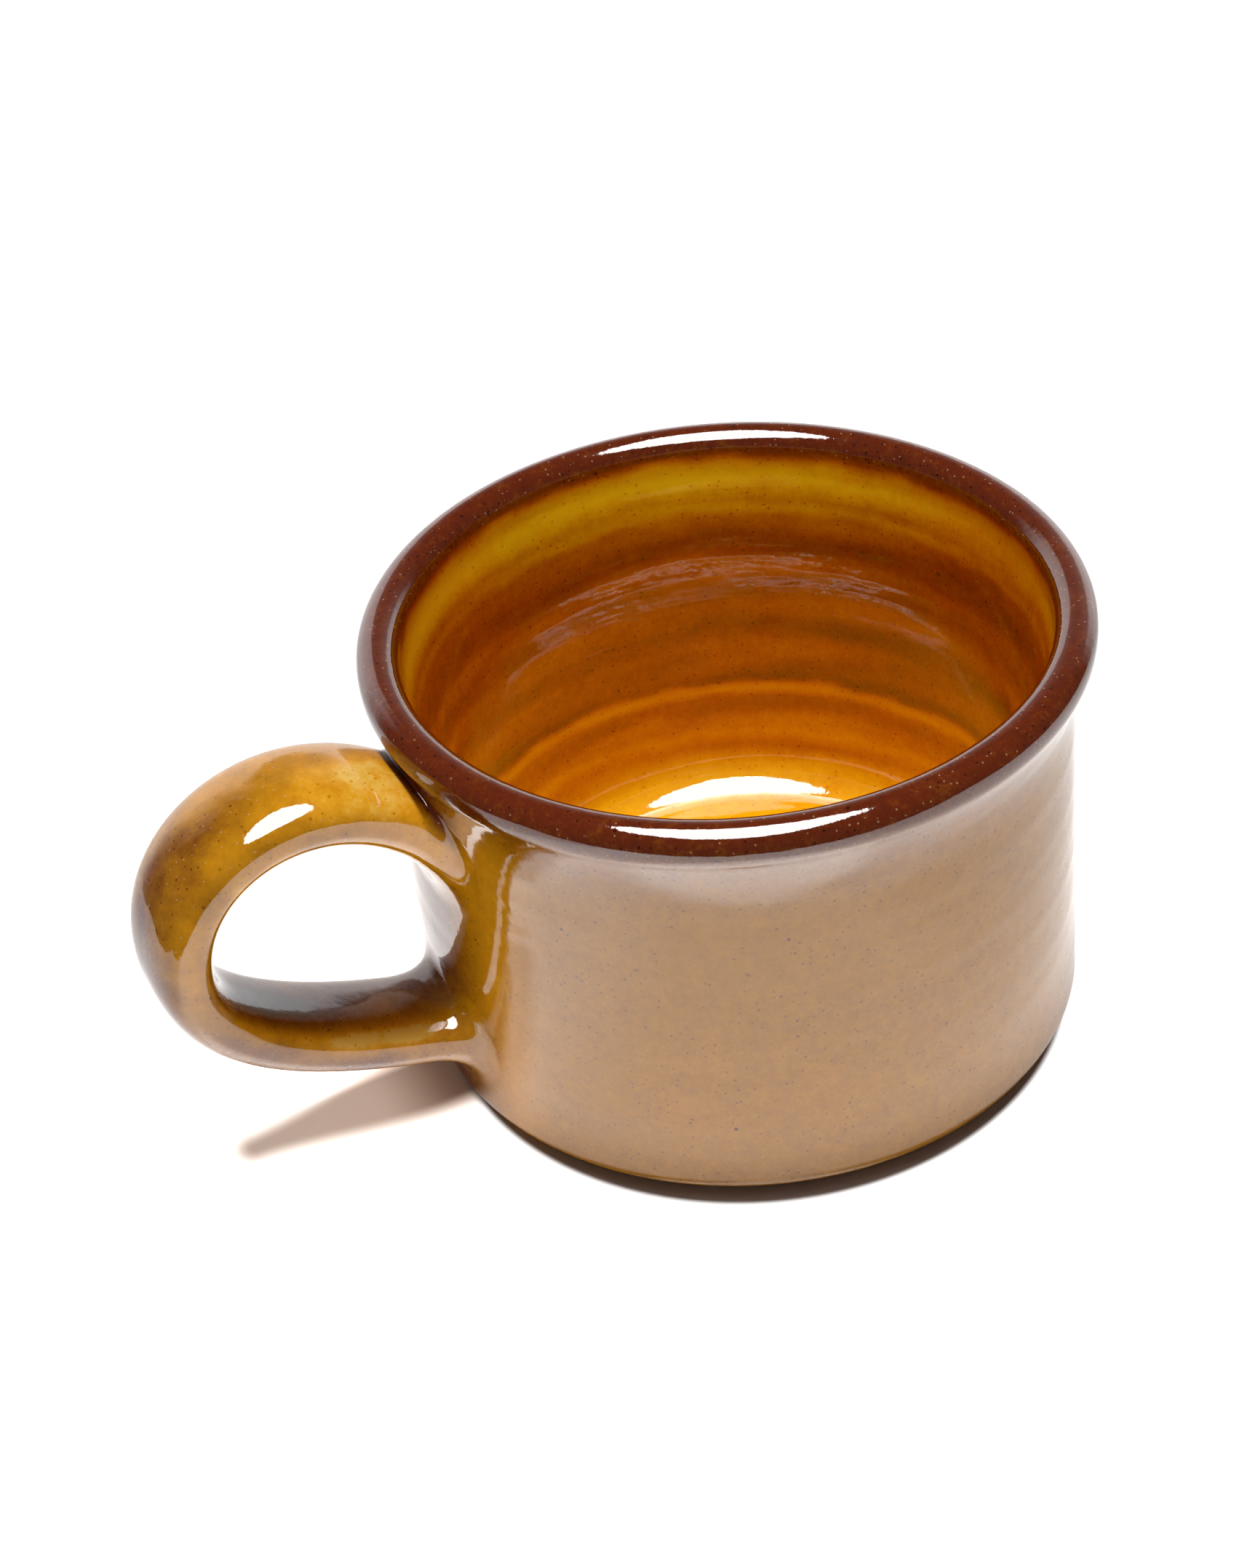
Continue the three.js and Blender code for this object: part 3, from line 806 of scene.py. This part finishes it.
def outer_offset(z, theta):
    """How far the outer wall stands off its true radius: faint turning marks."""
    waver = MARK_WAVER * np.sin(MARK_WAVES * theta + MARK_PHASE)
    waver = waver + FINE_MARK_WAVER * np.sin(FINE_MARK_WAVES * theta)
    marks = np.sin(2 * math.pi * (z + waver) / MARK_PITCH)
    marks = marks + FINE_MARK_SHARE * np.sin(2 * math.pi * (z - waver) / FINE_MARK_PITCH + MARK_PHASE)
    fade = rising(z - MARKS_START, MARKS_FOOT_FADE) * rising(ROLL_START_HEIGHT - z, MARKS_LIP_FADE)
    return MARK_DEPTH * fade * (marks + ripple(theta, z, *MARK_FIELD)) / 2


def ring_shift(z, theta):
    """How far the rings climb and waver round the cup."""
    return GROOVE_TILT * np.sin(theta) + GROOVE_WANDER * ripple(theta, z, *WANDER_FIELD)


def ring_offset(z, theta):
    """How deep the finger grooves and small unevenness cut into the inside of the wall."""
    place = z + ring_shift(z, theta)
    depth = 0
    for height, width, groove in GROOVES:
        strength = 1 - GROOVE_UNEVENNESS + GROOVE_UNEVENNESS * ripple(theta, height, *GROOVE_FIELD)
        depth = depth + groove * strength * np.exp(-((place - height) / width) ** 2)
    return depth + LINER_RIPPLE * ripple(theta, z, *LINER_FIELD)


def by_table(table, value):
    """A value looked up in a table of places and values, evenly between them."""
    places, values = np.array(table).T
    return np.interp(value, places, values)


def wall_depth(z, theta):
    """Glaze depth of the outer wall at a height and an angle, lowered behind the loop as painted shade."""
    aside = np.abs(np.remainder(theta, 2 * math.pi) - math.pi)
    # Painted shade: the depth drops between the handle's roots, where the loop shades the wall.
    thin = LOOP_SHADE * np.exp(-(aside / LOOP_HALF_WIDTH) ** 2)
    gathered = STRIP_GATHER * np.exp(-((aside - STRIP_PLACE) / STRIP_HALF_WIDTH) ** 2)
    return by_table(WALL_DEPTHS, z) - thin + gathered


def liner_depth(z, theta):
    """Glaze depth of the inside at a height and an angle."""
    ragged = LINER_RING_SHARE * ring_shift(z, theta) + LINER_RAGGED * ripple(theta, z, *RAGGED_FIELD)
    depth = by_table(LINER_DEPTHS, z + ragged) + LINER_STREAKS * ripple(theta, z, *STREAK_FIELD)
    side = np.clip(np.cos(theta - LINER_THIN_AZIMUTH), 0, 1)
    return depth - LINER_THIN_SIDE * side * rising(z - LINER_THIN_START, LINER_THIN_RISE)


def dipped(points):
    """The cup's points with the lip let down towards one side."""
    x, y, z = np.moveaxis(points, -1, 0)
    share = rising(z - LIP_DIP_START, HEIGHT - LIP_DIP_START) ** 2
    drop = LIP_DIP * share * (1 + np.cos(np.arctan2(y, x) - LIP_DIP_AZIMUTH)) / 2
    return np.stack((x, y, z - drop), axis=-1)


# Grids and pieces

def turn_angles(columns):
    """Angles of evenly spaced columns round a full turn."""
    return np.arange(columns) * 2 * math.pi / columns


def turned_grid(rows, theta):
    """Points and unit normals of an outline of radius and height turned round the axis."""
    facing = outline_normals(rows)
    r, z = rows[:, 0][:, None], rows[:, 1][:, None]
    c, s = np.cos(theta)[None, :], np.sin(theta)[None, :]
    points = np.stack((r * c, r * s, z + 0 * c), axis=-1)
    normals = np.stack((facing[:, :1] * c, facing[:, :1] * s, facing[:, 1:] + 0 * c), axis=-1)
    return points, normals


def grid_normals(points, guide):
    """Unit normals of a grid that closes on itself across, turned to the side of the guide normals."""
    along = np.gradient(points, axis=0)
    across = np.roll(points, -1, axis=1) - np.roll(points, 1, axis=1)
    normals = np.cross(across, along)
    length = np.linalg.norm(normals, axis=-1, keepdims=True)
    normals = np.where(length > TINY_NORMAL, normals / np.maximum(length, TINY_NORMAL), 0)
    normals *= np.sign(np.sum(normals * guide))
    return np.where(length > TINY_NORMAL, normals, guide)


def make_piece(name, points, normals, glaze, faces, material):
    """A mesh piece that rides on the mug, with smooth normals and its glaze depth as an attribute."""
    mesh = bpy.data.meshes.new(name)
    mesh.from_pydata(points.tolist(), [], faces)
    mesh.validate()
    mesh.shade_smooth()
    mesh.normals_split_custom_set_from_vertices(normals.tolist())
    depth = mesh.attributes.new("glaze", "FLOAT", "POINT")
    depth.data.foreach_set("value", glaze.astype(np.float32))
    mesh.materials.append(material)
    piece = bpy.data.objects.new(name, mesh)
    bpy.context.scene.collection.objects.link(piece)
    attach(piece, "root")
    return piece


def ring_faces(rings, columns):
    """Faces between rings of vertex numbers, the last and the first too; a ring of one vertex is a pole."""
    faces = []
    for a, b in zip(rings, rings[1:] + rings[:1]):
        for j in range(columns):
            k = (j + 1) % columns
            if len(a) == 1 and len(b) == 1:
                continue
            if len(a) == 1:
                faces.append((a[0], b[k], b[j]))
            elif len(b) == 1:
                faces.append((a[j], a[k], b[0]))
            else:
                faces.append((a[j], a[k], b[k], b[j]))
    return faces


def ringed_piece(name, points, normals, glaze, material, flipped=False):
    """A closed piece from rows of points; a row whose points all meet on the axis becomes one vertex."""
    columns = points.shape[1]
    kept = np.zeros(points.shape[:2], bool)
    rings = []
    total = 0
    for row, row_kept in zip(points, kept):
        size = 1 if np.ptp(row[:, :2]) < TINY_RING else columns
        row_kept[:size] = True
        rings.append(list(range(total, total + size)))
        total += size
    faces = ring_faces(rings, columns)
    if flipped:
        faces = [face[::-1] for face in faces]
    return make_piece(name, points[kept], normals[kept], glaze[kept], faces, material)


def shell(name, points, normals, glaze, backing, material):
    """A coat of glaze: the given grid in front, and a coarser choice of the backing's rows behind it.

    The backing's normals are left at zero, which leaves them to Blender.
    """
    rows = len(points)
    keep = sorted(set(range(0, rows, BACKING_STRIDE)) | {rows - 1}, reverse=True)
    back = backing[keep]
    all_points = np.vstack((points, back))
    all_normals = np.vstack((normals, np.zeros_like(back)))
    return ringed_piece(name, all_points, all_normals, np.vstack((glaze, glaze[keep])), material)


# Coats of the cup

def cup_coats(materials):
    """The wall, rim and liner glazes, cut from one grid so that their surfaces run on across the seams."""
    wall, roll, inside = (even_rows(line, ROW_STEP) for line in cup_outline())
    rows = np.vstack((wall, roll[1:], inside[1:]))
    roll_start = len(wall) - 1
    roll_end = roll_start + len(roll) - 1
    row_number = np.arange(len(rows))[:, None]
    is_wall, is_inside = row_number < roll_start, row_number > roll_end
    run = running_length(rows)[:, None]
    height = rows[:, 1][:, None]
    theta = turn_angles(COLUMNS)
    angle = theta[None, :]

    points, facing = turned_grid(rows, theta)
    below_lip = rising(run - run[roll_end], GROOVES_LIP_FADE)
    fade = below_lip * rising(height - FLOOR_THICKNESS, GROOVES_FLOOR_FADE)
    offset = np.where(is_inside, -ring_offset(height, angle) * fade, 0)
    offset = offset + np.where(is_wall, outer_offset(height, angle), 0)
    backing = dipped(points - facing * GLAZE_THICKNESS)
    points = dipped(points + facing * offset[..., None])
    normals = grid_normals(points, facing)

    on_roll = by_table(LIP_DEPTHS, rising(run - run[roll_start], run[roll_end] - run[roll_start]))
    elsewhere = np.where(is_inside, liner_depth(height, angle), on_roll)
    glaze = np.where(is_wall, wall_depth(height, angle), elsewhere)

    pieces = {}
    ends = (0, roll_start, roll_end, len(rows) - 1)
    for name, start, end in zip(("wall_coat", "rim_coat", "liner_coat"), ends, ends[1:]):
        span = slice(start, end + 1)
        pieces[name] = shell(name, points[span], normals[span], glaze[span], backing[span], materials[name])
    return pieces


# Handle

def handle_line():
    """The strap's centre line, which runs on into the cup at both ends.

    Gives its points as radius and height, its directions, the distances of its points from the upper
    root, and the distance between the roots.
    """
    upper = np.array((WALL_RADIUS, HEIGHT - HANDLE_UPPER_DROP))
    lower = np.array((WALL_RADIUS, HANDLE_LOWER_HEIGHT))
    bulge = np.array((WALL_RADIUS + HANDLE_REACH, HEIGHT - HANDLE_BULGE_DROP))
    loop = np.array((0, upper[1] - lower[1]))
    up = np.array((math.cos(UPPER_LEAVE_ANGLE), math.sin(UPPER_LEAVE_ANGLE)))
    low = np.array((math.cos(LOWER_LEAVE_ANGLE), math.sin(LOWER_LEAVE_ANGLE)))
    leave_upper = upper + up * UPPER_LEAVE_FULLNESS * HANDLE_REACH
    leave_lower = lower + low * LOWER_LEAVE_FULLNESS * HANDLE_REACH
    line = np.vstack((
        np.linspace(upper - up * ROOT_RUN, upper, RUN_POINTS)[:-1],
        bezier((upper, leave_upper, bulge + loop * UPPER_BEND_FULLNESS, bulge), LOOP_POINTS),
        bezier((bulge, bulge - loop * LOWER_BEND_FULLNESS, leave_lower, lower), LOOP_POINTS)[1:],
        np.linspace(lower, lower - low * ROOT_RUN, RUN_POINTS)[1:],
    ))
    length = running_length(line) - ROOT_RUN
    along = np.gradient(line, length, axis=0)
    along /= np.hypot(*along.T)[:, None]
    return line, along, length, length[-1] - ROOT_RUN


HANDLE_LINE, HANDLE_ALONG, HANDLE_LENGTHS, STRAP_LENGTH = handle_line()


def eased(sizes, share):
    """A size that eases through three values: at a share of 0, in the middle, and at a share of 1."""
    t = np.clip(share, 0, 1)
    first, middle, last = sizes
    return first * (1 - t) * (1 - 2 * t) + middle * 4 * t * (1 - t) + last * t * (2 * t - 1)


def loop_share(angle):
    """0 inside the loop, a half beside it and 1 outside it, for an angle round the strap."""
    return (1 + np.sin(angle)) / 2


def strap_skin(distance, angle, depth=0.0):
    """Points of the strap's skin, sunk by a depth, at distances along it and angles round it."""
    u, z = (np.interp(distance, HANDLE_LENGTHS, HANDLE_LINE[:, k]) for k in (0, 1))
    du, dz = (np.interp(distance, HANDLE_LENGTHS, HANDLE_ALONG[:, k]) for k in (0, 1))
    thick = eased(STRAP_THICKNESS, distance / STRAP_LENGTH) / 2 - depth
    wide = eased(STRAP_WIDTH, distance / STRAP_LENGTH) / 2 - depth
    c, s = np.cos(angle), np.sin(angle)
    square = (np.abs(c) ** STRAP_SQUARENESS + np.abs(s) ** STRAP_SQUARENESS) ** (-1 / STRAP_SQUARENESS)
    rise = thick * s * square
    return np.stack((-(u - dz * rise), wide * c * square, z + du * rise), axis=-1)


def off_wall(points):
    """Distance of points from the outer wall, measured level."""
    return np.hypot(points[..., 0], points[..., 1]) - wall_radius(points[..., 2])


def root_places(angle, upper):
    """Distance along the strap at which each line of its skin meets the outer wall."""
    third = STRAP_LENGTH / 3
    if upper:
        search = np.linspace(HANDLE_LENGTHS[0], third, SEARCH_POINTS)
    else:
        search = np.linspace(HANDLE_LENGTHS[-1], STRAP_LENGTH - third, SEARCH_POINTS)
    outside = off_wall(strap_skin(search[:, None], angle[None, :])) > 0
    last_in = len(search) - 1 - np.argmax(~outside[::-1], axis=0)
    return search[np.minimum(last_in + 1, len(search) - 1)]


def skin_normals(place, angle):
    """Unit normals of the strap's skin."""
    around = strap_skin(place, angle + ANGLE_STEP) - strap_skin(place, angle - ANGLE_STEP)
    forward = strap_skin(place + LENGTH_STEP, angle) - strap_skin(place - LENGTH_STEP, angle)
    outward = np.cross(forward, around)
    from_core = strap_skin(place, angle) - strap_skin(place, angle, STRAP_CORE_DEPTH)
    outward *= np.sign(np.sum(outward * from_core, axis=-1, keepdims=True))
    return outward / np.linalg.norm(outward, axis=-1, keepdims=True)


def wall_landing(corner, outward, reach):
    """Points of the wall at a reach from each corner, to the side of outward, and their normals."""
    azimuth = np.arctan2(corner[:, 1], corner[:, 0])
    around = np.stack((-np.sin(azimuth), np.cos(azimuth), 0 * azimuth), axis=-1)
    aside = np.sum(outward * around, axis=-1)
    rise = outward[:, 2]
    scale = reach / np.hypot(aside, rise)
    height = corner[:, 2] + rise * scale
    azimuth = azimuth + aside * scale / WALL_RADIUS
    radius = wall_radius(height) + outer_offset(height, azimuth)
    slope = (wall_radius(height + LENGTH_STEP) - wall_radius(height - LENGTH_STEP)) / (2 * LENGTH_STEP)
    c, s = np.cos(azimuth), np.sin(azimuth)
    facing = np.stack((c, s, -slope), axis=-1)
    facing /= np.linalg.norm(facing, axis=-1, keepdims=True)
    return np.stack((radius * c, radius * s, height), axis=-1), facing


def fillet(angle, place, size, step):
    """Rows of points that ease from the strap's skin on to the wall, and the wall's normals at their end."""
    share = loop_share(angle)
    start = strap_skin(place + step * eased(size["handle"], share), angle)
    corner = strap_skin(place, angle)
    landing, facing = wall_landing(corner, skin_normals(place, angle), eased(size["wall"], share))
    lift = np.sum((corner - landing) * facing, axis=-1, keepdims=True)
    corner = corner - facing * np.minimum(lift, 0)
    t = np.linspace(0, 1, FILLET_ROWS)[:, None, None]
    rows = (1 - t) ** 2 * start + 2 * t * (1 - t) * corner + t ** 2 * landing
    return rows, facing


def handle_depths(grid, places, angle):
    """Glaze depths over the handle, easing into those of the wall where the fillets end."""
    top_places = np.repeat(places[:1], FILLET_ROWS, 0)
    end_places = np.repeat(places[-1:], FILLET_ROWS, 0)
    share = np.vstack((top_places, places[1:-1], end_places)) / STRAP_LENGTH
    depth = HANDLE_DEPTH + HANDLE_STREAKS * ripple(angle, share, *HANDLE_FIELD)
    for place, turn, length, spread, change in HANDLE_PATCHES:
        turned = np.degrees(np.arccos(np.cos(angle - math.radians(turn))))
        depth = depth + change * np.exp(-((share - place) / length) ** 2 - (turned / spread) ** 2)
    on_wall = wall_depth(grid[..., 2], np.arctan2(grid[..., 1], grid[..., 0]))
    t = np.linspace(0, 1, FILLET_ROWS)[:, None]
    to_wall = t ** FILLET_BLEND
    top, end = slice(0, FILLET_ROWS), slice(-FILLET_ROWS, None)
    for span, mix in ((top, to_wall[::-1]), (end, to_wall)):
        depth[span] = depth[span] * (1 - mix) + on_wall[span] * mix
    crease = np.clip(np.sin(angle) * CREASE_SPREAD, 0, 1) * np.sin(math.pi * t)
    depth[top] = depth[top] * (1 - crease) + CREASE_DEPTH * crease
    return depth


def handle_coat(material):
    """The glaze round the handle, with the worked joints at both roots, as one closed sleeve."""
    angle = turn_angles(STRAP_COLUMNS)
    upper, lower = root_places(angle, True), root_places(angle, False)
    top, top_facing = fillet(angle, upper, UPPER_FILLET, 1)
    end, end_facing = fillet(angle, lower, LOWER_FILLET, -1)
    share = loop_share(angle)
    start = upper + eased(UPPER_FILLET["handle"], share)
    stop = lower - eased(LOWER_FILLET["handle"], share)
    places = start + (stop - start) * np.linspace(0, 1, STRAP_ROWS)[:, None]
    strap = strap_skin(places, angle)
    core = strap_skin(places, angle, STRAP_CORE_DEPTH)
    grid = np.vstack((top[::-1], strap[1:-1], end))
    guide = np.vstack((top[::-1] - core[:1], strap[1:-1] - core[1:-1], end - core[-1:]))
    normals = grid_normals(grid, guide)
    normals[0], normals[-1] = top_facing, end_facing

    sunk_top = grid[:1] - top_facing * GLAZE_THICKNESS
    sunk_end = grid[-1:] - end_facing * GLAZE_THICKNESS
    inner_places = upper + (lower - upper) * np.linspace(1, 0, SLEEVE_ROWS)[:, None]
    inner = strap_skin(inner_places, angle, GLAZE_THICKNESS)
    points = np.vstack((grid, sunk_end, inner, sunk_top))
    facing = np.zeros_like(points)
    facing[: len(grid)] = normals
    glaze = np.full(points.shape[:2], HANDLE_DEPTH)
    glaze[: len(grid)] = handle_depths(grid, places, angle)
    return ringed_piece("handle_coat", points, facing, glaze, material, flipped=True)


# Clay

def clay_cup(material):
    """The thrown clay under the glaze, with the arcs that the cutting wire left on its base."""
    wall, roll, inside = (even_rows(line, CLAY_ROW_STEP) for line in cup_outline())
    skin = np.vstack((wall[CLAY_SKIPPED_ROWS:], roll[1:], inside[1:]))
    under = skin - outline_normals(skin) * (GLAZE_THICKNESS + 2 * BOND_GAP)
    base_edge = WALL_RADIUS - BASE_INSET
    base = np.column_stack((np.linspace(0, base_edge, BASE_ROWS), np.zeros(BASE_ROWS)))
    foot_centre = np.array((base_edge, FOOT_EDGE_RADIUS))
    foot = arc(foot_centre, FOOT_EDGE_RADIUS, -math.pi / 2, FOOT_EDGE_END_ANGLE, FOOT_EDGE_ROWS)
    rows = np.vstack((base, foot[1:], under))
    points, facing = turned_grid(rows, turn_angles(COLUMNS))

    x, y = points[:BASE_ROWS, :, 0], points[:BASE_ROWS, :, 1]
    bow = np.hypot(x - WIRE_CENTRE[0], y - WIRE_CENTRE[1])
    waves = np.sin(2 * math.pi * bow / WIRE_PITCH + ripple(x / WIRE_WANDER, y, *WIRE_FIELD))
    fade = rising(base_edge - np.hypot(x, y), WIRE_FADE)
    points[:BASE_ROWS, :, 2] = WIRE_DEPTH * np.clip(waves, 0, 1) ** 2 * fade
    points = dipped(points)
    no_glaze = np.zeros(points.shape[:2])
    return ringed_piece("clay_cup", points, grid_normals(points, facing), no_glaze, material)


# Scene

bpy.context.scene.view_settings.view_transform = "Standard"
make_camera()
make_sun("key", KEY_STRENGTH, KEY_ANGLE, KEY_TILT)
make_sun("fill", FILL_STRENGTH, FILL_ANGLE, FILL_TILT)
make_softbox()
make_world()
make_floor()

wall_glaze = glaze_material("wall glaze", HONEY, blotch=0.10, bubbles=0.0, lines=0.1)
handle_glaze = glaze_material("handle glaze", HONEY, blotch=0.40, bubbles=0.45, lines=0.0)
rim_glaze = glaze_material("rim glaze", HONEY, blotch=0.06, bubbles=0.45, lines=0.0)
liner_glaze = glaze_material("liner glaze", AMBER, blotch=0.14, bubbles=0.08, lines=0.75, olive=0.32)
bare_clay = clay_material("bare clay", CLAY_PALE, CLAY_DARK)
joint_slip = clay_material("joint slip", SLIP_PALE, SLIP_DARK)

coats = cup_coats({"wall_coat": wall_glaze, "rim_coat": rim_glaze, "liner_coat": liner_glaze})
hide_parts("wall_glaze")
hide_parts("rim_glaze")
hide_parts("liner_glaze")

handle = handle_coat(handle_glaze)
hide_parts("handle_glaze", "upper_joint_coil", "lower_joint_coil")

cup = clay_cup(bare_clay)
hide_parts("thrown_cup")

carried_over = {"pulled_handle": bare_clay, "upper_slip_joint": joint_slip, "lower_slip_joint": joint_slip}
for node, material in carried_over.items():
    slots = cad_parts[node].data.materials
    slots.clear()
    slots.append(material)
